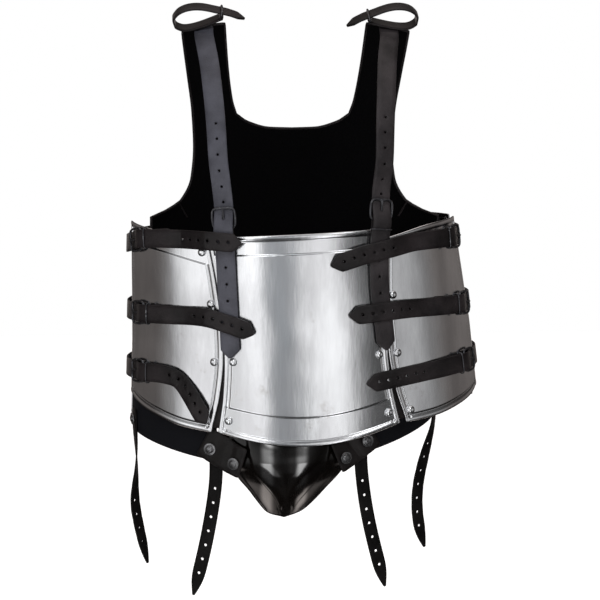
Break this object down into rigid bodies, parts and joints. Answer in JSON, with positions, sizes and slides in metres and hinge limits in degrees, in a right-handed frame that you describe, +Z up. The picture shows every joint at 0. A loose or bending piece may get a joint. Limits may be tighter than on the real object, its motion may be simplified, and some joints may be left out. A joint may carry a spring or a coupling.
{
  "type": "steel waist armour harness",
  "caption": "Worn waist armour of lames of polished steel joined by buckled straps, with a black vest, shoulder straps, hip belt and groin cup.",
  "frame": {"origin": "middle of the waist, on the centre line of the torso, level with the plates' middle", "axes": "+Z up the wearer's body, -Y to the front, +X to the viewer's right in the picture"},
  "size_m": [0.3963, 0.2556, 0.6444],
  "materials": {
    "polished_steel": "polished steel sheet with fine rubbed lines",
    "dark_steel": "blackened steel, satin",
    "black_leather": "black strap leather, satin",
    "grey_leather": "worn black leather with a grey bloom",
    "brown_leather": "dark brown leather",
    "black_cloth": "matt black cloth with bound edges",
    "black_webbing": "black woven webbing",
    "black_gloss": "glossy black moulded leather"
  },
  "bodies": {
    "root": {"front_plate": "polished_steel", "back_plate": "polished_steel", "side_plate_left": "polished_steel", "joint_strip_left": "brown_leather", "waist_strap_upper_left": "black_leather", "waist_buckle_upper_left": "dark_steel", "waist_chape_upper_left": "black_leather", "waist_keeper_upper_left": "dark_steel", "waist_strap_middle_left": "black_leather", "waist_buckle_middle_left": "dark_steel", "waist_chape_middle_left": "black_leather", "waist_keeper_middle_left": "dark_steel", "waist_strap_lower_left": "black_leather", "waist_buckle_lower_left": "dark_steel", "waist_chape_lower_left": "black_leather", "waist_keeper_lower_left": "dark_steel", "shoulder_strap_left": "grey_leather", "shoulder_buckle_left": "dark_steel", "shoulder_chape_left": "black_leather", "shoulder_keeper_left": "dark_steel", "loop_strap_left": "grey_leather", "loop_buckle_left": "dark_steel", "cup_tab_left": "brown_leather", "belt_rivet_left": "dark_steel", "cup_rivet_left": "dark_steel", "hanger_rivet_outer_left": "dark_steel", "hip_hanger_outer_left": "black_leather", "hip_hanger_inner_left": "black_leather", "side_plate_right": "polished_steel", "joint_strip_right": "brown_leather", "waist_strap_upper_right": "black_leather", "waist_buckle_upper_right": "dark_steel", "waist_chape_upper_right": "black_leather", "waist_keeper_upper_right": "dark_steel", "waist_strap_middle_right": "black_leather", "waist_buckle_middle_right": "dark_steel", "waist_chape_middle_right": "black_leather", "waist_keeper_middle_right": "dark_steel", "waist_strap_lower_right": "black_leather", "waist_buckle_lower_right": "dark_steel", "waist_chape_lower_right": "black_leather", "waist_keeper_lower_right": "dark_steel", "shoulder_strap_right": "grey_leather", "shoulder_buckle_right": "dark_steel", "shoulder_chape_right": "black_leather", "shoulder_keeper_right": "dark_steel", "loop_strap_right": "grey_leather", "loop_buckle_right": "dark_steel", "cup_tab_right": "brown_leather", "belt_rivet_right": "dark_steel", "cup_rivet_right": "dark_steel", "hanger_rivet_outer_right": "dark_steel", "hip_hanger_outer_right": "black_leather", "hip_hanger_inner_right": "black_leather", "vest": "black_cloth", "hip_belt": "black_webbing", "groin_cup": "black_gloss"}
  },
  "joints": []
}
